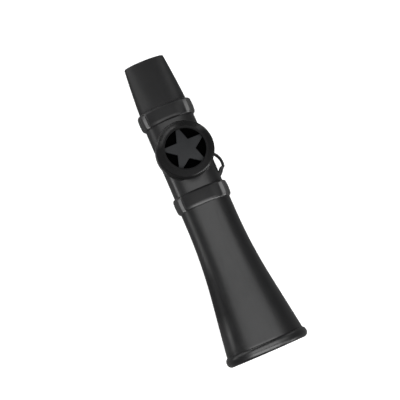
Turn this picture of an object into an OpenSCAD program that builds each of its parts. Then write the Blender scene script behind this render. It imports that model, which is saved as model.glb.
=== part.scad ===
// Kazoo with an oval body, a flared bell and a star-guarded membrane turret on top.
// It lies along X, mouth end at -X and bell at +X, with the turret pointing up.
// The body's cross-sections are ovals: sizes across are along Y, and their heights follow section_ratio.

/* [Cross-section] */
// Height of the oval body as a share of its width
section_ratio = 0.74; // [0.65:0.01:0.9]

/* [Mouthpiece] */
// Width of the mouthpiece at its tip
tip_w = 16.7; // [12:0.1:19]
// Height of the mouthpiece at its tip
tip_h = 7.4; // [6:0.1:10]
// Width of the mouthpiece where it enters its collar
mouth_w = 19.7; // [18:0.1:20.4]
// Length of the mouthpiece from its tip to its collar
mouth_len = 20.1; // [12:0.1:30]
// Wall of the mouthpiece
mouth_wall = 1.4; // [0.8:0.1:1.6]
// Radius of the rounded edge of the tip
tip_round = 0.5; // [0.2:0.05:0.6]
// How soon the mouthpiece reaches its full width, 1 for a straight taper
taper_ease = 1.3; // [1:0.05:2]

/* [Barrel] */
// Width of the straight oval tube of barrel and bell
tube_w = 20.5; // [20:0.1:24]
// Length of barrel between the two collars
barrel_len = 29.8; // [27:0.1:40]
// Wall of the barrel
tube_wall = 1.4; // [1:0.1:1.8]

/* [Collars and joints] */
// Wall of the two collars over the tube
collar_wall = 1.15; // [1.1:0.05:2]
// Length of each collar
collar_len = 6.6; // [5:0.1:10]
// Radius of the rounded outer edges of the collars
collar_round = 1.05; // [0.3:0.05:1.1]
// Length of the spigots that mouthpiece and bell push into the barrel
spigot_len = 5; // [3:0.1:6]
// Wall of the spigots
spigot_wall = 1.2; // [0.8:0.1:1.5]
// Gap round the fixed joints
fit_gap = 0.05; // [0.02:0.01:0.1]

/* [Bell] */
// Length of the bell from its collar to its open end
bell_len = 61.9; // [50:0.1:90]
// Straight length of bell before the flare
flare_start = 5; // [4:0.1:12]
// Length over which the flare curves outward
flare_run = 30; // [20:0.5:36]
// Slope of the bell's side past the curve
flare_angle = 8.45; // [5:0.05:12]
// Wall of the bell
bell_wall = 1.4; // [1:0.1:1.8]
// Length of the bead along the rim
rim_len = 3.4; // [2.8:0.1:5]
// How far the bead stands out from the bell
rim_proud = 1.06; // [0.5:0.02:2]
// Radius of the bead's rounded edges
rim_round = 1.3; // [0.5:0.05:1.35]

/* [Turret] */
// Distance from the mouth collar to the turret's axis
turret_set = 14; // [13:0.1:18]
// Height of the cap's top above the body's axis
turret_h = 14.9; // [14:0.1:20]
// Diameter of the window in the cap
window_d = 16; // [12:0.1:16.8]
// Diameter of the air port under the membrane
port_d = 15; // [11:0.1:15.4]
// Wall of the boss round the membrane's seat
boss_wall = 0.95; // [0.8:0.05:1.5]
// Wall of the cap's skirt
skirt_wall = 1.1; // [0.8:0.05:2]
// Radius of the bead round the skirt's foot
foot_round = 0.45; // [0.3:0.05:0.6]
// How far the foot's bead stands out from the skirt
foot_proud = 0.3; // [0.1:0.05:0.4]
// Height of the cap from its lowest edge to its top
cap_h = 8.9; // [7:0.1:9.5]
// Thickness of the cap's lip over the grille
lip_t = 1.3; // [0.8:0.1:1.6]
// Radius of the cap's rounded top edge
cap_round = 1; // [0.3:0.05:1.2]

/* [Star grille] */
// Diameter of the circle through the star's inner corners
star_core_d = 7.9; // [5:0.02:9]
// Thickness of the grille
star_t = 1.2; // [0.8:0.1:1.5]

/* [Membrane] */
// Width of the rings that hold the membrane
ring_w = 1.1; // [0.9:0.05:1.6]
// Thickness of each ring
ring_t = 0.8; // [0.5:0.05:1]
// Thickness of the membrane
film_t = 0.1; // [0.05:0.01:0.2]

/* [Lanyard loop] */
// Distance from the middle of the loop to the bell collar
loop_set = 7.2; // [7:0.1:9]
// Outer radius of the loop
loop_r = 7; // [6:0.1:7]
// Radius of the loop's eye
eye_r = 4.7; // [3.5:0.1:5.4]
// How far the loop reaches out from the barrel's side
loop_reach = 3.25; // [2.5:0.05:5]
// Thickness of the band at the top of the loop
loop_band = 1; // [0.8:0.05:1.4]
// Depth of the band
loop_depth = 2.6; // [1.5:0.1:4]
// Shift of the eye towards the mouth end, which thickens the band's lower root
eye_shift = 0.8; // [0:0.05:0.9]

/* [Clearances] */
// Radial gap between the cap's skirt and the boss
slide_gap = 0.1; // [0.05:0.01:0.2]
// Radial gap between the membrane rings and their seat
drop_gap = 0.15; // [0.1:0.01:0.3]
// Gap under the grille, above the upper ring
clamp_gap = 0.2; // [0.1:0.01:0.3]
// Gap between the cap and the barrel
saddle_gap = 0.3; // [0.2:0.02:0.5]

/* [Hidden] */
$fn = 200;
satin_black = [0.17, 0.17, 0.175];
gloss_black = [0.1, 0.1, 0.105];
film_black = [0.04, 0.04, 0.045];
ring_grey = [0.3, 0.3, 0.3];
// Facets round the mouthpiece, and segments of the long flare arc and of the small rounded corners
oval_sides = 72;
flare_sides = 720;
corner_sides = 48;
// Wedges that make up an oval solid
oval_wedges = 6;
// Lengthwise steps along the mouthpiece and round its edges
mouth_steps = 5;
edge_steps = 3;
// The flat end of the bell takes this much off its rounded bead
rim_trim = 0.05;
// Cuts run this far past the faces that they open
over = 1;

// Places along the body, measured from the tip of the mouthpiece
mouth_joint = mouth_len + collar_len / 2;
barrel_start = mouth_len + collar_len;
turret_at = barrel_start + turret_set;
bell_collar_at = barrel_start + barrel_len;
bell_joint = bell_collar_at + collar_len / 2;
bell_start = bell_collar_at + collar_len;
flare_from = bell_start + flare_start;
flare_to = flare_from + flare_run;
overall_len = bell_start + bell_len;
rim_at = overall_len - rim_len;

// Half-widths of the oval sections
tube_r = tube_w / 2;
bore_r = tube_r - tube_wall;
spigot_r = bore_r - fit_gap;
collar_bore_r = tube_r + fit_gap;
collar_r = collar_bore_r + collar_wall;
flare_r = flare_run / sin(flare_angle);
flare_gain = flare_r * (1 - cos(flare_angle));
bell_end_r = tube_r + flare_gain + (rim_at - flare_to) * tan(flare_angle);
rim_r = bell_end_r + rim_proud;
rim_half_h = rim_r * section_ratio;

// Radii of the turret, from the air port outwards
port_r = port_d / 2;
ring_r = port_r + ring_w;
seat_r = ring_r + drop_gap;
boss_r = seat_r + boss_wall;
cap_bore_r = boss_r + slide_gap;
cap_r = cap_bore_r + skirt_wall;
grille_r = cap_bore_r - fit_gap;
grille_rim = 1.2;

// Heights of the turret's pieces above the body's axis
grille_z = turret_h - lip_t - star_t;
upper_ring_z = grille_z - clamp_gap - ring_t;
film_z = upper_ring_z - film_t;
lower_ring_z = film_z - ring_t;
boss_top = grille_z - slide_gap;

// Puts the body's axis at the height at which the bell's rim meets the ground, and the length's middle at X = 0
module place() {
    translate([-overall_len / 2, 0, rim_half_h])
        children();
}

// Turns a profile of half-width against length into an oval solid along X, made of equal wedges
module oval_body() {
    wedge = 360 / oval_wedges;
    for (i = [0 : oval_wedges - 1])
        scale([1, 1, section_ratio])
            rotate([0, 90, 0])
                rotate_extrude(angle = wedge, start = i * wedge)
                    children();
}

// Straight oval bar along X
module oval_bar(r, from, to) {
    translate([from, 0, 0])
        rotate([90, 0, 90])
            linear_extrude(to - from)
                scale([1, section_ratio])
                    circle(r);
}

// Straight stretch of a profile
module straight(r, from, to) {
    translate([0, from])
        square([r, to - from]);
}

// Square-cornered band in a profile with both outer corners rounded
module rounded_band(r_in, r_out, from, to, corner) {
    translate([r_in, from])
        square([r_out - corner - r_in, to - from]);
    translate([r_in, from + corner])
        square([r_out - r_in, to - from - 2 * corner]);
    for (y = [from + corner, to - corner])
        translate([r_out - corner, y])
            circle(corner, $fn = corner_sides);
}

// Flare of the bell as a solid profile, drawn inward by inset
module flare_profile(inset, from, to) {
    start_r = tube_r - inset;
    arc_r = flare_r + inset;
    arc_to = flare_from + arc_r * sin(flare_angle);
    arc_end_r = start_r + arc_r * (1 - cos(flare_angle));
    straight(start_r, from, flare_from);
    difference() {
        straight(arc_end_r, flare_from, arc_to);
        translate([start_r + arc_r, flare_from])
            circle(arc_r, $fn = flare_sides);
    }
    polygon([[0, arc_to], [arc_end_r, arc_to],
        [arc_end_r + (to - arc_to) * tan(flare_angle), to], [0, to]]);
}

// Points of an oval across X
function oval(x, a, b) = [for (i = [0 : oval_sides - 1])
    let (t = 360 * i / oval_sides) [x, a * cos(t), b * sin(t)]];

// Closed skin over a loop of ovals that runs out along the outside and back along the inside
module oval_loft(rings) {
    count = len(rings);
    points = [for (ring = rings) each ring];
    faces = [for (j = [0 : count - 1])
        for (i = [0 : oval_sides - 1])
            let (k = (j + 1) % count, n = (i + 1) % oval_sides)
                let (p = j * oval_sides + i, q = j * oval_sides + n,
                    r = k * oval_sides + n, s = k * oval_sides + i)
                    each [[p, r, q], [p, s, r]]];
    polyhedron(points, faces);
}

// Half-width and half-height of the mouthpiece's outside at a distance from its tip
function mouth_a(x) = let (t = min(x / mouth_len, 1))
    tip_w / 2 + (mouth_w - tip_w) / 2 * (1 - pow(1 - t, taper_ease));
function mouth_b(x) = let (t = min(x / mouth_len, 1))
    tip_h / 2 + (mouth_w * section_ratio - tip_h) / 2 * t;

module mouthpiece() {
    spigot_end = mouth_joint + spigot_len;
    spigot_in = spigot_r - spigot_wall;
    outside = [for (i = [0 : mouth_steps])
        let (x = tip_round + (mouth_len - tip_round) * i / mouth_steps) oval(x, mouth_a(x), mouth_b(x))];
    inside = [for (i = [mouth_steps : -1 : 0])
        let (x = tip_round + (mouth_len - tip_round) * i / mouth_steps)
            oval(x, mouth_a(x) - mouth_wall, mouth_b(x) - mouth_wall)];
    tip_inner = [for (i = [1 : edge_steps])
        let (t = 90 * i / edge_steps, cut = mouth_wall - tip_round * (1 - cos(t)))
            oval(tip_round * (1 - sin(t)), mouth_a(tip_round) - cut, mouth_b(tip_round) - cut)];
    tip_outer = [for (i = [edge_steps : -1 : 1])
        let (t = 90 * i / edge_steps, cut = tip_round * (1 - cos(t)))
            oval(tip_round * (1 - sin(t)), mouth_a(tip_round) - cut, mouth_b(tip_round) - cut)];
    spigot = [
        oval(mouth_joint, mouth_a(mouth_len), mouth_b(mouth_len)),
        oval(mouth_joint, spigot_r, spigot_r * section_ratio),
        oval(spigot_end, spigot_r, spigot_r * section_ratio),
        oval(spigot_end, spigot_in, spigot_in * section_ratio)];
    color(satin_black)
        place()
            oval_loft(concat(outside, spigot, inside, tip_inner, tip_outer));
}

module mouth_collar() {
    color(satin_black)
        place()
            oval_body()
                difference() {
                    rounded_band(0, collar_r, mouth_len, barrel_start, collar_round);
                    straight(mouth_w / 2 + fit_gap, mouth_len - over, mouth_joint);
                    straight(collar_bore_r, mouth_joint, barrel_start + over);
                }
}

module bell_collar() {
    color(satin_black)
        place()
            oval_body()
                difference() {
                    rounded_band(0, collar_r, bell_collar_at, bell_start, collar_round);
                    straight(collar_bore_r, bell_collar_at - over, bell_start + over);
                }
}

module barrel() {
    color(gloss_black)
        place()
            difference() {
                union() {
                    oval_bar(tube_r, mouth_joint, bell_joint);
                    translate([turret_at, 0, 0])
                        cylinder(h = boss_top, r = boss_r);
                }
                oval_bar(bore_r, mouth_joint - over, bell_joint + over);
                translate([turret_at, 0, 0])
                    cylinder(h = boss_top + over, r = port_r);
                translate([turret_at, 0, lower_ring_z])
                    cylinder(h = boss_top - lower_ring_z + over, r = seat_r);
            }
}

module lanyard_loop() {
    top_y = tube_r + loop_reach;
    color(gloss_black)
        place()
            difference() {
                translate([bell_collar_at - loop_set, 0, -loop_depth / 2])
                    linear_extrude(loop_depth)
                        difference() {
                            translate([0, top_y - loop_r])
                                circle(loop_r);
                            translate([-eye_shift, top_y - loop_band - eye_r])
                                circle(eye_r);
                        }
                oval_bar(tube_r + fit_gap, barrel_start, bell_start);
            }
}

module bell() {
    spigot_in = spigot_r - spigot_wall;
    color(gloss_black)
        place()
            difference() {
                oval_body()
                    difference() {
                        union() {
                            flare_profile(0, bell_joint, rim_at + rim_len / 2);
                            rounded_band(0, rim_r, rim_at, overall_len + rim_trim, rim_round);
                            straight(spigot_r, bell_joint - spigot_len, bell_joint + over);
                        }
                        flare_profile(bell_wall, bell_joint + spigot_wall, overall_len + over);
                        straight(spigot_in, bell_joint - spigot_len - over,
                            bell_joint + spigot_wall + over);
                    }
                translate([overall_len, -2 * rim_r, -2 * rim_r])
                    cube([over, 4 * rim_r, 4 * rim_r]);
            }
}

module turret_cap() {
    color(satin_black)
        place()
            difference() {
                translate([turret_at, 0, turret_h])
                    rotate_extrude()
                        difference() {
                            union() {
                                translate([0, -cap_h])
                                    square([cap_r, cap_h - cap_round]);
                                translate([0, -cap_round])
                                    square([cap_r - cap_round, cap_round]);
                                translate([cap_r - cap_round, -cap_round])
                                    circle(cap_round, $fn = corner_sides);
                                translate([cap_r + foot_proud - foot_round, foot_round - cap_h])
                                    circle(foot_round, $fn = corner_sides);
                            }
                            translate([0, -cap_h - over])
                                square([cap_bore_r, cap_h + over - lip_t]);
                            translate([0, -cap_h - over])
                                square([window_d / 2, cap_h + 2 * over]);
                        }
                oval_bar(tube_r + saddle_gap, barrel_start, bell_collar_at);
            }
}

// Star outline with its inner corners on a circle, and its points where the sides meet
module star_outline(core_r) {
    arms = 5;
    turn = 180 / arms;
    point_r = core_r * sin(90 + turn) / sin(turn / 2);
    polygon([for (i = [0 : 2 * arms - 1])
        let (r = i % 2 == 0 ? point_r : core_r, t = 180 + i * turn) [r * cos(t), r * sin(t)]]);
}

module star_grille() {
    color(satin_black)
        place()
            translate([turret_at, 0, grille_z])
                linear_extrude(star_t)
                    intersection() {
                        circle(grille_r);
                        union() {
                            star_outline(star_core_d / 2);
                            difference() {
                                circle(grille_r + over);
                                circle(grille_r - grille_rim);
                            }
                        }
                    }
}

module membrane_ring(z) {
    color(ring_grey)
        place()
            translate([turret_at, 0, z])
                difference() {
                    cylinder(h = ring_t, r = ring_r);
                    translate([0, 0, -over])
                        cylinder(h = ring_t + 2 * over, r = port_r);
                }
}

module membrane() {
    color(film_black)
        place()
            translate([turret_at, 0, film_z])
                cylinder(h = film_t, r = ring_r);
}

mouthpiece();
mouth_collar();
barrel();
lanyard_loop();
bell_collar();
bell();
turret_cap();
star_grille();
membrane_ring(upper_ring_z);  // membrane_ring_upper
membrane();
membrane_ring(lower_ring_z);  // membrane_ring_lower
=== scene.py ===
# Kazoo in black plastic: oval mouthpiece, barrel and flared bell, a turret with a star over its film, and
# a lanyard eye. Metres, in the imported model's frame: mouth end at -X, bell at +X, turret up.
import math

import bpy
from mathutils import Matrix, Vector


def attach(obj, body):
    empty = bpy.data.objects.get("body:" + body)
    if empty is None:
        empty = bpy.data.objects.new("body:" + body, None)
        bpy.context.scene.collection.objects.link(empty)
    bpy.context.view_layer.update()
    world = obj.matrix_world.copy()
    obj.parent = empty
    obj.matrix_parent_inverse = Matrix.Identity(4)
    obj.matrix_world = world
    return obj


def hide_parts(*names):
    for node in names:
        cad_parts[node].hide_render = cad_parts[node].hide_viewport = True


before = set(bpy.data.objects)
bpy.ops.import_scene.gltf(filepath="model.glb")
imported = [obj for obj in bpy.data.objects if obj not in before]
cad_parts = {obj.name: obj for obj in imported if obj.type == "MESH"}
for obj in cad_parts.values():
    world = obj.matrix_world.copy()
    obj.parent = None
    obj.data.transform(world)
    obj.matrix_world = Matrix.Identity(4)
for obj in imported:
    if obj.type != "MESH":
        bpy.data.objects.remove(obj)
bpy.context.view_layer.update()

MM = 0.001
# Half the kazoo's length and the height of its axis, in millimetres
HALF_LENGTH = 62.5
AXIS_HEIGHT = 12.593
# Height of the body's ovals as a share of their width
OVAL = 0.74

# Places along the body, in millimetres from the mouth end. The bell's collar, and with it the bell's visible
# start, sit 0.5 nearer to the mouth end than in the solids.
MOUTH_LEN = 20.1
MOUTH_JOINT = 23.4
BARREL_START = 26.7
SPIGOT_END = 28.4
TURRET_AT = 40.7
BELL_COLLAR_AT = 56.0
BELL_START = 62.6
# Half-widths of the body's ovals, and its wall, in millimetres
TUBE_R = 10.25
COLLAR_R = 11.45
SPIGOT_R = 8.8
SPIGOT_BORE = 7.6
BODY_WALL = 1.4
# Height of the star's top above the axis, and its thickness, in millimetres
GRILLE_TOP = 13.6
GRILLE_THICK = 1.2

# Steps of a collar's raised shoulders: from and to, as shares of its half-width, and how much each lifts it
LEFT_SHOULDER = (
    (0.780, 0.930, 1.057),
    (0.810, 0.915, 1.047),
    (0.835, 0.875, 1.054),
    (0.855, 0.875, 1.061),
)
RIGHT_SHOULDER = (
    (0.755, 0.934, 1.036),
    (0.780, 0.914, 1.041),
    (0.807, 0.896, 1.047),
    (0.832, 0.854, 1.055),
)
# How much nearer to the middle the shoulder sits on the loop's side, in millimetres
SHOULDER_SHIFT = 0.85

# Lamps: name, place, the point it shines at, width and height, and radiance
LAMPS = (
    ("overhead", (-0.05, 0.028, 0.62), (-0.05, 0.028, 0), (0.36, 1.2), 2.3),
    ("left_strip", (-0.1325, -0.13, 0.02), (-0.1325, 0, 0.014), (0.335, 0.03), 2.6),
    ("bell_side", (0.42, -0.04, 0.5), (0.02, 0, 0), (0.9, 0.45), 3.5),
    ("bell_right", (0.4, 0.32, 0.3), (0, 0, 0), (0.15, 0.15), 4.0),
    ("mouth_left", (-0.36, -0.42, 0.24), (0, 0, 0), (0.22, 0.22), 3.2),
    ("foot_right", (0.35, 0.28, 0.08), (0, 0, 0), (0.12, 0.08), 10.0),
    ("mouth_low", (-0.45, -0.1, 0.2), (0, 0, 0), (0.3, 0.12), 2.3),
    ("mouth_right", (-0.28, 0.43, 0.19), (0, 0, 0), (0.14, 0.28), 2.0),
)
# Share of the white floor and world that shows in reflections
GLOSSY_SHARE = 0.05

# Colours of the plastics, and of the film, whose near-black is painted shade for the dark recess under the
# star
BLACK = (0.009, 0.009, 0.0094)
CAP_BLACK = (0.0072, 0.0072, 0.0074)
STAR_BLACK = (0.0122, 0.013, 0.0142)
FILM_PAINTED_SHADE = (0.001, 0.001, 0.001)


def spot(x, y=0.0, z=0.0):
    """Point in the frame for millimetres from the mouth end, sideways, and above the axis."""
    return Vector(((x - HALF_LENGTH) * MM, y * MM, (AXIS_HEIGHT + z) * MM))


# Camera, floor and lights

def add_camera():
    """Nearly straight above, through a long lens, with the mouth end at the upper left."""
    turn = [math.radians(a) for a in (8.7325, -3.9029, 66.667)]
    bpy.ops.object.camera_add(location=(0.05432, -0.06278, 0.5117), rotation=turn)
    camera = bpy.context.object
    camera.data.sensor_width = 36
    camera.data.lens = 115.5
    bpy.context.scene.camera = camera


def add_softbox(name, place, aim, size, radiance):
    """Rectangular lamp at a place, turned to shine at a point, with its width along X."""
    away = Vector(place) - Vector(aim)
    turn = away.to_track_quat("Z", "Y").to_euler()
    bpy.ops.object.light_add(type="AREA", location=place, rotation=turn)
    box = bpy.context.object
    box.name = name
    box.data.shape = "RECTANGLE"
    box.data.size, box.data.size_y = size
    box.data.energy = radiance * math.pi * size[0] * size[1]
    box.visible_camera = False


def shader(tree, kind, colour, strength=None):
    """Shader node of one colour, with a strength where it takes one."""
    node = tree.nodes.new(kind)
    node.inputs["Color"].default_value = (*colour, 1)
    if strength is not None:
        node.inputs["Strength"].default_value = strength
    return node


def seen_directly(tree, unseen, seen):
    """Mixes towards what the camera sees, with a share of it in reflections and all of it through glass."""
    path = tree.nodes.new("ShaderNodeLightPath").outputs
    glossy = maths(tree, "MULTIPLY", path["Is Glossy Ray"], GLOSSY_SHARE)
    share = maths(tree, "MAXIMUM", path["Is Camera Ray"], path["Is Transmission Ray"], glossy)
    mix = tree.nodes.new("ShaderNodeMixShader")
    tree.links.new(share, mix.inputs[0])
    tree.links.new(unseen.outputs[0], mix.inputs[1])
    tree.links.new(seen.outputs[0], mix.inputs[2])
    return mix.outputs[0]


def add_floor():
    """Pale floor, tilted so that the bell's rim and the mouth collar both rest on it."""
    height, tilt = 2.43 * MM, math.radians(2.28)
    bpy.ops.mesh.primitive_plane_add(size=6, location=(0, 0, height), rotation=(0, tilt, 0))
    floor = bpy.context.object
    floor.name = "floor"
    paint = bpy.data.materials.new("pale_floor")
    paint.use_nodes = True
    tree = paint.node_tree
    tree.nodes.clear()
    out = tree.nodes.new("ShaderNodeOutputMaterial")
    dim = shader(tree, "ShaderNodeBsdfDiffuse", (0.15, 0.15, 0.15))
    pale = shader(tree, "ShaderNodeBsdfDiffuse", (0.8, 0.8, 0.8))
    lift = shader(tree, "ShaderNodeEmission", (1, 1, 1), 0.6)
    both = tree.nodes.new("ShaderNodeAddShader")
    tree.links.new(pale.outputs[0], both.inputs[0])
    tree.links.new(lift.outputs[0], both.inputs[1])
    tree.links.new(seen_directly(tree, dim, both), out.inputs[0])
    floor.data.materials.append(paint)


def light_world():
    """White to the camera, and a dim grey light for the object."""
    world = bpy.data.worlds.new("studio")
    bpy.context.scene.world = world
    world.use_nodes = True
    tree = world.node_tree
    tree.nodes.clear()
    out = tree.nodes.new("ShaderNodeOutputWorld")
    dim = shader(tree, "ShaderNodeBackground", (0.03, 0.03, 0.03))
    white = shader(tree, "ShaderNodeBackground", (1, 1, 1))
    tree.links.new(seen_directly(tree, dim, white), out.inputs[0])


# Materials

def noise_in(tree, scale, detail, stretch=(1, 1, 1)):
    """Noise on the object's own coordinates, with its scale per metre."""
    place = tree.nodes.new("ShaderNodeTexCoord")
    spread = tree.nodes.new("ShaderNodeMapping")
    spread.inputs["Scale"].default_value = stretch
    noise = tree.nodes.new("ShaderNodeTexNoise")
    noise.inputs["Scale"].default_value = scale
    noise.inputs["Detail"].default_value = detail
    tree.links.new(place.outputs["Object"], spread.inputs["Vector"])
    tree.links.new(spread.outputs[0], noise.inputs["Vector"])
    return noise.outputs[0]


def remap(tree, value, low, high, start, end):
    """A value's range from low to high, turned into start to end."""
    node = tree.nodes.new("ShaderNodeMapRange")
    for name, number in zip(("From Min", "From Max", "To Min", "To Max"), (low, high, start, end)):
        node.inputs[name].default_value = number
    tree.links.new(value, node.inputs["Value"])
    return node.outputs[0]


def maths(tree, kind, first, *others):
    """Math nodes that take numbers or sockets one after another, as in a product of several."""
    for other in others or (None,):
        node = tree.nodes.new("ShaderNodeMath")
        node.operation = kind
        for socket, value in zip(node.inputs, (first, other)):
            if isinstance(value, (int, float)):
                socket.default_value = value
            elif value is not None:
                tree.links.new(value, socket)
        first = node.outputs[0]
    return first


def bump(tree, height, distance, normal=None):
    """Bump of a height's noise, on top of another bump where one is given."""
    node = tree.nodes.new("ShaderNodeBump")
    node.inputs["Distance"].default_value = distance
    tree.links.new(height, node.inputs["Height"])
    if normal:
        tree.links.new(normal, node.inputs["Normal"])
    return node.outputs[0]


def new_finish(name, colour, roughness, specular, polished=None, shine=None):
    """Moulded plastic: cloudy tone, fine grain, slight waves and hairline rubs, and glossier where polished.

    polished makes a mask from a place on the object. Where it is 1, the roughness is the polish's and the
    specular level is shine.
    """
    tone_spread, gloss_spread, rub, polish = 0.2, 0.015, 0.05, 0.25
    finish = bpy.data.materials.new(name)
    finish.use_nodes = True
    tree = finish.node_tree
    bsdf = tree.nodes["Principled BSDF"]
    tone = tree.nodes.new("ShaderNodeMix")
    tone.data_type = "RGBA"
    tone.inputs[6].default_value = (*[c * (1 - tone_spread) for c in colour], 1)
    tone.inputs[7].default_value = (*[c * (1 + tone_spread) for c in colour], 1)
    tree.links.new(noise_in(tree, 160, 3), tone.inputs[0])
    tree.links.new(tone.outputs[2], bsdf.inputs["Base Color"])

    rubs = remap(tree, noise_in(tree, 700, 2, (0.12, 1, 1)), 0.58, 0.72, 0, rub)
    gloss = remap(tree, noise_in(tree, 260, 2), 0.3, 0.7, roughness - gloss_spread, roughness + gloss_spread)
    if polished:
        place = tree.nodes.new("ShaderNodeTexCoord")
        parts = tree.nodes.new("ShaderNodeSeparateXYZ")
        tree.links.new(place.outputs["Object"], parts.inputs[0])
        mask = polished(tree, *parts.outputs)
        gloss = maths(tree, "SUBTRACT", gloss, remap(tree, mask, 0, 1, 0, roughness - polish))
        tree.links.new(remap(tree, mask, 0, 1, specular, shine), bsdf.inputs["Specular IOR Level"])
    else:
        bsdf.inputs["Specular IOR Level"].default_value = specular
    tree.links.new(maths(tree, "ADD", gloss, rubs), bsdf.inputs["Roughness"])

    wave = bump(tree, noise_in(tree, 180, 1, (0.5, 1, 1)), 0.02 * MM)
    grain = bump(tree, noise_in(tree, 2600, 2), 0.0008 * MM, wave)
    tree.links.new(grain, bsdf.inputs["Normal"])
    return finish


def ramp_along(tree, x, low, high, start, end):
    """Ramp between two places along the body, in millimetres from the mouth end."""
    return remap(tree, x, spot(low).x, spot(high).x, start, end)


def ramp_mm(tree, value, low, high, start, end):
    """Ramp between two values in millimetres."""
    return remap(tree, value, low * MM, high * MM, start, end)


def collar_shine(end, edge_share, front_share):
    """Mask for a collar's two sides, rising towards the loop's, and for its two rounded edges."""
    def mask(tree, x, y, z):
        left = maths(tree, "MULTIPLY", y, -1)
        right = maths(tree, "ADD", y, SHOULDER_SHIFT * MM)
        sides = ramp_mm(tree, maths(tree, "MAXIMUM", left, right), 7.9, 8.5, 0, 1)
        slope = ramp_mm(tree, y, 3, 7.5, 0, 0.5)
        edge = ramp_along(tree, x, end - 1.6, end - 1.0, 0, edge_share)
        front = ramp_along(tree, x, end - 5.3, end - 5.9, 0, front_share)
        return maths(tree, "MAXIMUM", sides, slope, edge, front)
    return mask


def bell_shine(tree, x, y, z):
    """Mask for the bell, 0.5 in general.

    It is less on a rubbed patch at the left and more beyond it. On the rim it is more at the middle and at
    both ends, and less between them.
    """
    left = ramp_mm(tree, y, -8, -9.5, 0, 1)
    rise = ramp_along(tree, x, 83, 91, 0, 0.4)
    fall = ramp_along(tree, x, 105, 113, 0, 0.6)
    flat = ramp_along(tree, x, 118.8, 119.8, 1, 0)
    patch = maths(tree, "MULTIPLY", left, maths(tree, "SUBTRACT", fall, rise), flat)
    rim = ramp_along(tree, x, 120.2, 120.9, 0, 0.4)
    off = maths(tree, "ABSOLUTE", maths(tree, "ADD", y, 2.2 * MM))
    middle = ramp_mm(tree, off, 4.5, 9, 1, -0.8)
    dull = ramp_mm(tree, y, -8.5, -10.5, 0, 0.5)
    ends = ramp_mm(tree, maths(tree, "ABSOLUTE", y), 15, 16.5, 0, 1)
    bright = maths(tree, "MAXIMUM", maths(tree, "SUBTRACT", middle, dull), ends)
    return maths(tree, "ADD", maths(tree, "MULTIPLY", rim, bright), patch, 0.5)


def barrel_shine(tree, x, y, z):
    """Mask for the barrel's left side, from the turret to the bell."""
    left = ramp_mm(tree, y, -7.7, -8.5, 0, 1)
    back = ramp_along(tree, x, 38, 42, 0, 1)
    return maths(tree, "MULTIPLY", left, back)


def cap_shine(tree, x, y, z):
    """Mask for the cap's chamfer towards the mouth end, its foot, and its outer edge on the loop's side."""
    along = maths(tree, "SUBTRACT", x, spot(TURRET_AT).x)
    squares = maths(tree, "ADD", maths(tree, "POWER", along, 2), maths(tree, "POWER", y, 2))
    reach = maths(tree, "SQRT", squares)
    chamfer = ramp_mm(tree, reach, 8.5, 8.7, 0, 1)
    front = ramp_mm(tree, along, -6, -3.5, 0.9, 0)
    outer = ramp_mm(tree, reach, 10.6, 10.8, 0, 1)
    height = maths(tree, "SUBTRACT", z, spot(0).z)
    from_middle = maths(tree, "ABSOLUTE", maths(tree, "SUBTRACT", height, 10.2 * MM))
    edges = ramp_mm(tree, from_middle, 2.7, 3.1, 0, 1)
    low = ramp_mm(tree, height, 7.5, 8, 1, 0)
    right = ramp_mm(tree, y, -2, 1, 0, 1)
    rest = maths(tree, "MULTIPLY", outer, edges, maths(tree, "MAXIMUM", low, right))
    return maths(tree, "MAXIMUM", maths(tree, "MULTIPLY", chamfer, front), rest)


# Modelling helpers

def activate(piece):
    """Makes the piece the active object, and the only one selected."""
    bpy.ops.object.select_all(action="DESELECT")
    piece.select_set(True)
    bpy.context.view_layer.objects.active = piece


def edit(piece):
    """Edit mode on the piece's vertices, with none of them selected."""
    activate(piece)
    bpy.ops.object.mode_set(mode="EDIT")
    bpy.ops.mesh.select_mode(type="VERT")
    bpy.ops.mesh.select_all(action="DESELECT")


def pick(piece, wanted):
    """Selects, in edit mode, just the vertices whose place passes the test."""
    bpy.ops.mesh.select_all(action="DESELECT")
    bpy.ops.object.mode_set(mode="OBJECT")
    for vertex in piece.data.vertices:
        vertex.select = wanted(vertex.co)
    bpy.ops.object.mode_set(mode="EDIT")


def shade(angle=35):
    """Shades the active piece smooth up to an angle in degrees."""
    bpy.ops.object.shade_smooth_by_angle(angle=math.radians(angle))


def done(angle=35):
    """Leaves edit mode with outward normals, and shades the piece smooth up to an angle."""
    bpy.ops.mesh.select_all(action="SELECT")
    bpy.ops.mesh.normals_make_consistent(inside=False)
    bpy.ops.object.mode_set(mode="OBJECT")
    shade(angle)


def settle():
    """Puts the new piece's place and turn into its mesh, and returns the piece."""
    bpy.ops.object.transform_apply(location=True, rotation=True, scale=True)
    return bpy.context.object


def join_ends():
    """Joins the two open ends of a run of rings."""
    bpy.ops.mesh.select_all(action="DESELECT")
    bpy.ops.mesh.select_non_manifold()
    bpy.ops.mesh.bridge_edge_loops()


def finish_piece(piece, name, body, material, slot, *nodes):
    """Names and paints the piece, puts it on its body, and lets it stand for the nodes; slot is not used."""
    piece.name = name
    piece.data.name = name
    piece.data.materials.clear()
    piece.data.materials.append(material)
    if nodes:
        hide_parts(*nodes)
    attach(piece, body)


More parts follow.
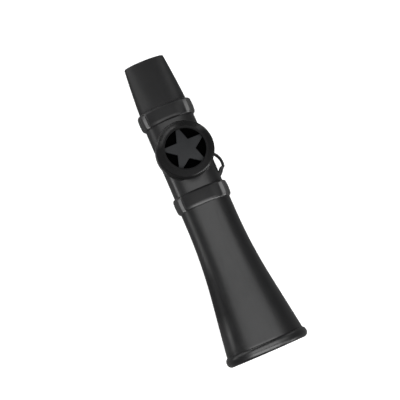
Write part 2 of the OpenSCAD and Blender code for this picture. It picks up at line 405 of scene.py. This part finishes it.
def run_oval(stations, sides, shape_ring=None):
    """Ovals across X, extruded from station to station (x, half-width, half-height), with their ends joined.

    shape_ring works on the first ring, and what it does carries on to the rest.
    """
    x, a, b = stations[0]
    bpy.ops.object.select_all(action="DESELECT")
    bpy.ops.mesh.primitive_circle_add(vertices=sides, radius=MM, fill_type="NOTHING", location=spot(x),
                                      rotation=(0, math.radians(90), 0))
    piece = settle()
    edit(piece)
    bpy.ops.mesh.select_all(action="SELECT")
    bpy.ops.transform.resize(value=(1, a, b), center_override=spot(x))
    if shape_ring:
        shape_ring(piece)
        bpy.ops.mesh.select_all(action="SELECT")
    for (x0, a0, b0), (x1, a1, b1) in zip(stations, stations[1:]):
        bpy.ops.mesh.extrude_region_move(TRANSFORM_OT_translate={"value": ((x1 - x0) * MM, 0, 0)})
        bpy.ops.transform.resize(value=(1, a1 / a0, b1 / b0), center_override=spot(x1))
    join_ends()
    done()
    return piece


# The kazoo's pieces

def make_mouthpiece(finish):
    """Oval that flattens towards a rounded tip, with a spigot for the barrel."""
    tip_a, tip_b, end_a, fullness, lip = 8.35, 3.7, 9.85, 1.3, 0.5

    def outside(x, inset=0.0):
        t = min(x / MOUTH_LEN, 1)
        a = tip_a + (end_a - tip_a) * (1 - (1 - t) ** fullness)
        b = tip_b + (end_a * OVAL - tip_b) * t
        return (x, a - inset, b - inset)

    steps = [lip + (MOUTH_LEN - lip) * i / 12 for i in range(13)]
    out = [outside(x) for x in steps] + [outside(MOUTH_JOINT)]
    spigot = [(MOUTH_JOINT, SPIGOT_R, SPIGOT_R * OVAL), (SPIGOT_END, SPIGOT_R, SPIGOT_R * OVAL),
              (SPIGOT_END, SPIGOT_BORE, SPIGOT_BORE * OVAL)]
    back = [outside(x, BODY_WALL) for x in reversed(steps)]
    quarter = [math.radians(15 * i) for i in range(1, 7)]
    insets = [(t, BODY_WALL - lip * (1 - math.cos(t))) for t in quarter]
    insets += [(t, lip * (1 - math.cos(t))) for t in reversed(quarter)]
    tip = [(lip * (1 - math.sin(t)), *outside(lip, inset)[1:]) for t, inset in insets]
    piece = run_oval(out + spigot + back + tip, 96)
    finish_piece(piece, "blown_mouthpiece", "body", finish, "satin_black", "mouthpiece")


def make_collar(name, node, start, mouth_bore, finish):
    """Collar with rounded edges, the longer one towards the bell, and a raised shoulder along each side."""
    length, corner, crown, bore, wide_bore = 6.6, 1.05, 0.1, 10.3, 10.45
    end = start + length
    end_corner = 1.5 * corner
    # Places and half-widths of the ovals: rounded edge, crowned middle, rounded edge, then the inside
    out = []
    for i in range(7):
        t = math.radians(15 * i)
        out.append((start + corner * (1 - math.cos(t)), COLLAR_R - crown - corner * (1 - math.sin(t))))
    for i in range(1, 8):
        t = i / 8
        out.append((start + corner + (length - corner - end_corner) * t, COLLAR_R - crown * (2 * t - 1) ** 2))
    for i in range(6, -1, -1):
        t = math.radians(15 * i)
        out.append((end - end_corner * (1 - math.cos(t)), COLLAR_R - crown - corner * (1 - math.sin(t))))
    inside = [(end, wide_bore)]
    if mouth_bore:
        inside += [(MOUTH_JOINT, bore), (MOUTH_JOINT, mouth_bore), (start, mouth_bore)]
    else:
        inside += [(start, bore)]
    stations = [(x, r, r * OVAL) for x, r in out + inside]
    half_width = stations[0][1] * MM

    def raise_shoulders(piece):
        for steps, side, shift in ((LEFT_SHOULDER, -1, 0), (RIGHT_SHOULDER, 1, SHOULDER_SHIFT * MM)):
            for low, high, gain in steps:
                pick(piece, lambda co: low < side * (co.y + shift) / half_width < high)
                bpy.ops.transform.resize(value=(1, 1, gain), center_override=spot(start))

    piece = run_oval(stations, 144, raise_shoulders)
    finish_piece(piece, name, "body", finish, "satin_black", node)


def make_cap(finish):
    """Push-on cap: flat ring round the window, chamfer, skirt, bead at its foot, cut to sit on the barrel."""
    sides, top, bore, window = 144, 14.9, 9.8, 8.0
    saddle_r, saddle_len = 10.4, 29.8
    # Profile, as radius and height above the axis
    foot = [(bore, 6.0), (11.3, 6.0), (11.45, 6.06), (11.5, 6.2), (11.5, 6.55), (11.1, 7.0)]
    skirt = [(11.1, 7.3), (11.35, 13.1)]
    chamfer = [(11.3, 13.4), (11.1, 13.7), (10.6, 13.95), (9.75, 14.24), (9.05, 14.75), (8.75, top)]
    lip = [(window + 0.15, top), (window + 0.04, top - 0.04), (window, top - 0.15), (window, GRILLE_TOP),
           (bore, GRILLE_TOP)]
    profile = foot + skirt + chamfer + lip
    radius, height = profile[0]
    bpy.ops.object.select_all(action="DESELECT")
    bpy.ops.mesh.primitive_circle_add(vertices=sides, radius=radius * MM, fill_type="NOTHING",
                                      location=spot(TURRET_AT, 0, height))
    piece = settle()
    edit(piece)
    bpy.ops.mesh.select_all(action="SELECT")
    for (r0, z0), (r1, z1) in zip(profile, profile[1:]):
        bpy.ops.mesh.extrude_region_move(TRANSFORM_OT_translate={"value": (0, 0, (z1 - z0) * MM)})
        bpy.ops.transform.resize(value=(r1 / r0, r1 / r0, 1), center_override=spot(TURRET_AT, 0, z1))
    join_ends()
    done()
    bpy.ops.object.select_all(action="DESELECT")
    bpy.ops.mesh.primitive_cylinder_add(vertices=sides, radius=saddle_r * MM, depth=saddle_len * MM,
                                        location=spot(TURRET_AT), rotation=(0, math.radians(90), 0))
    saddle = settle()
    edit(saddle)
    bpy.ops.mesh.select_all(action="SELECT")
    bpy.ops.transform.resize(value=(1, 1, OVAL), center_override=spot(TURRET_AT))
    bpy.ops.object.mode_set(mode="OBJECT")
    activate(piece)
    cut = piece.modifiers.new("saddle", "BOOLEAN")
    cut.object = saddle
    cut.solver = "EXACT"
    bpy.ops.object.modifier_apply(modifier="saddle")
    bpy.data.objects.remove(saddle)
    shade()
    finish_piece(piece, "push_on_cap", "cap", finish, "satin_black", "turret_cap")


def make_bell(finish):
    """Bell: spigot in the barrel, straight oval, curved flare, then a straight flare to a rolled rim."""
    flare_from, arc, angle = 68.1, 30.0, math.radians(8.45)
    rim_len, rim_proud, rim_at = 4.0, 0.93, 121.6
    # Roundings of the rim's bead, towards the flare and towards the open end
    roll_front, roll_end = 1.2, 1.7
    # How far the flat end face begins below the bead's crown, and the chamfer of the bore's edge
    face_drop, bore_edge = 1.5, 0.1
    # Where the spigot begins, the joint with the barrel, and the step of the bore
    spigot_start, joint, bore_step = 54.8, 59.8, 61
    # The tube widens under the collar, and has a flat ring before it comes out
    widen_from, widen_to, ring_at = 62.1, 62.3, 62.5
    tube_r = TUBE_R + 0.13

    def flare(x, inset=0.0):
        radius = arc / math.sin(angle) + inset
        curve_len = radius * math.sin(angle)
        along = min(max(x - flare_from, 0), curve_len)
        curved = radius - math.sqrt(radius ** 2 - along ** 2)
        return tube_r - inset + curved + max(x - flare_from - curve_len, 0) * math.tan(angle)

    steps = [flare_from + (rim_at - flare_from) * i / 20 for i in range(21)]
    rim_r = flare(rim_at) + rim_proud
    rim_end = 2 * HALF_LENGTH
    foot = rim_end - rim_len
    # Places and half-widths of the ovals: the rim's bead, then outside, inside and spigot
    roll = []
    for degrees in range(5, 171, 11):
        t = math.radians(degrees)
        depth = (roll_front if degrees < 90 else roll_end) * (1 - math.sin(t))
        roll.append((rim_end - rim_len / 2 * (1 + math.cos(t)), rim_r - depth))
    out = [(joint, TUBE_R), (widen_from, TUBE_R), (widen_to, tube_r), (ring_at, tube_r)]
    out += [(x, flare(x)) for x in steps if x < foot - 0.5]
    out += [(foot, flare(foot))] + roll
    bore_r = flare(rim_end, BODY_WALL)
    back = [(rim_end, rim_r - face_drop), (rim_end, bore_r + bore_edge), (rim_end - bore_edge, bore_r)]
    back += [(x, flare(x, BODY_WALL)) for x in reversed(steps)] + [(bore_step, TUBE_R - BODY_WALL)]
    spigot = [(bore_step, SPIGOT_BORE), (spigot_start, SPIGOT_BORE)]
    spigot += [(spigot_start, SPIGOT_R), (joint, SPIGOT_R)]
    piece = run_oval([(x, r, r * OVAL) for x, r in out + back + spigot], 192)
    finish_piece(piece, "flared_bell", "body", finish, "gloss_black", "bell")


def make_star(finish):
    """Five-pointed star with softened edges, on the ring that holds it under the cap's lip."""
    point_r, core_share, blunting, edge = 10.34, 0.382, 1.0, 0.16
    ring_r, ring_wall = 9.7, 1.2
    middle = spot(TURRET_AT, 0, GRILLE_TOP)
    bpy.ops.object.select_all(action="DESELECT")
    bpy.ops.mesh.primitive_circle_add(vertices=10, radius=point_r * MM, fill_type="NGON", location=middle,
                                      rotation=(0, 0, math.radians(90)))
    star = settle()
    edit(star)
    pick(star, lambda co: round(math.degrees(math.atan2(co.y - middle.y, co.x - middle.x)) / 36) % 2 == 0)
    bpy.ops.transform.resize(value=(core_share, core_share, 1), center_override=middle)
    pick(star, lambda co: (co - middle).length > 0.8 * point_r * MM)
    bpy.ops.mesh.bevel(affect="VERTICES", offset=blunting * MM, segments=4)
    bpy.ops.mesh.select_all(action="SELECT")
    bpy.ops.mesh.extrude_region_move(TRANSFORM_OT_translate={"value": (0, 0, -GRILLE_THICK * MM)})
    bpy.ops.mesh.select_all(action="SELECT")
    bpy.ops.mesh.normals_make_consistent(inside=False)
    bpy.ops.object.mode_set(mode="OBJECT")
    soften = star.modifiers.new("edges", "BEVEL")
    soften.width = edge * MM
    soften.segments = 3
    soften.limit_method = "ANGLE"
    soften.angle_limit = math.radians(50)
    bpy.ops.object.modifier_apply(modifier="edges")
    bpy.ops.object.select_all(action="DESELECT")
    bpy.ops.mesh.primitive_cylinder_add(vertices=96, radius=ring_r * MM, depth=GRILLE_THICK * MM,
                                        end_fill_type="NOTHING",
                                        location=spot(TURRET_AT, 0, GRILLE_TOP - GRILLE_THICK / 2))
    ring = settle()
    wall = ring.modifiers.new("wall", "SOLIDIFY")
    wall.thickness = ring_wall * MM
    wall.offset = -1
    bpy.ops.object.modifier_apply(modifier="wall")
    activate(star)
    ring.select_set(True)
    bpy.ops.object.join()
    shade()
    finish_piece(star, "star_guard", "cap", finish, "satin_black", "star_grille")


def make_loop(finish):
    """Lanyard eye: a flat band bent to an arc, with its roots in the barrel's side, the rear one wider."""
    bend_r, half_thick, depth_share, buried_at = 6.5, 0.57, 2.6, 9.5
    # The rear root is spread by pulling its inner side, which carries what is within reach along
    root_reach = 2.6 * MM
    root_pull = (-1.4 * MM, -0.6 * MM, 0)
    centre = spot(49.3, 6.5)
    root = spot(54.6, 10.2)
    bpy.ops.object.select_all(action="DESELECT")
    bpy.ops.mesh.primitive_torus_add(major_segments=144, minor_segments=24, major_radius=bend_r * MM,
                                     minor_radius=half_thick * MM, location=centre)
    loop = settle()
    edit(loop)
    bpy.ops.mesh.select_all(action="SELECT")
    bpy.ops.transform.resize(value=(1, 1, depth_share), center_override=centre)
    pick(loop, lambda co: co.y < buried_at * MM)
    bpy.ops.mesh.delete(type="VERT")
    pick(loop, lambda co: (co - root).length < root_reach and (co - centre).length < bend_r * MM)
    bpy.ops.transform.translate(value=root_pull, use_proportional_edit=True,
                                proportional_edit_falloff="SMOOTH", proportional_size=root_reach)
    bpy.ops.mesh.select_all(action="DESELECT")
    bpy.ops.mesh.select_non_manifold()
    bpy.ops.mesh.fill_holes(sides=0)
    done(50)
    finish_piece(loop, "lanyard_eye", "body", finish, "gloss_black", "lanyard_loop")


add_camera()
light_world()
add_floor()
for lamp in LAMPS:
    add_softbox(*lamp)
bpy.context.scene.view_settings.view_transform = "Standard"

# Finishes: name, colour, roughness and specular level, then the polished places and their specular level
gloss = new_finish("gloss_black_plastic", BLACK, 0.33, 0.45)
satin = new_finish("satin_black_plastic", BLACK, 0.42, 0.34)
bell = new_finish("bell_gloss_black_plastic", BLACK, 0.4, 0.1, bell_shine, 0.8)
barrel = new_finish("barrel_gloss_black_plastic", BLACK, 0.35, 0.45, barrel_shine, 0.7)
mouth_shine = collar_shine(BARREL_START, 0.4, 0.4)
mouth_collar = new_finish("mouth_collar_plastic", BLACK, 0.5, 0.2, mouth_shine, 0.9)
joint_shine = collar_shine(BELL_START, 0.75, 0)
bell_collar = new_finish("bell_collar_plastic", BLACK, 0.5, 0.2, joint_shine, 0.9)
cap = new_finish("cap_black_plastic", CAP_BLACK, 0.5, 0.06, cap_shine, 0.45)
star = new_finish("star_black_plastic", STAR_BLACK, 0.55, 0.22)
# The film is painted shade: near-black with no reflection, for the dark recess under the star
film = new_finish("film", FILM_PAINTED_SHADE, 0.6, 0.0)

make_mouthpiece(satin)
make_collar("collar_at_mouth", "mouth_collar", MOUTH_LEN, 9.9, mouth_collar)
make_collar("collar_at_bell", "bell_collar", BELL_COLLAR_AT, None, bell_collar)
make_cap(cap)
make_bell(bell)
make_star(star)
make_loop(gloss)

# Pieces that stay the solids themselves, with a better material; the film and its rings take the painted
# shade
CAD_FINISHES = {
    "barrel": barrel,
    "membrane_ring_upper": film,
    "membrane": film,
    "membrane_ring_lower": film,
}
for node, material in CAD_FINISHES.items():
    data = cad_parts[node].data
    if not data.materials:
        data.materials.append(None)
    for i in range(len(data.materials)):
        data.materials[i] = material
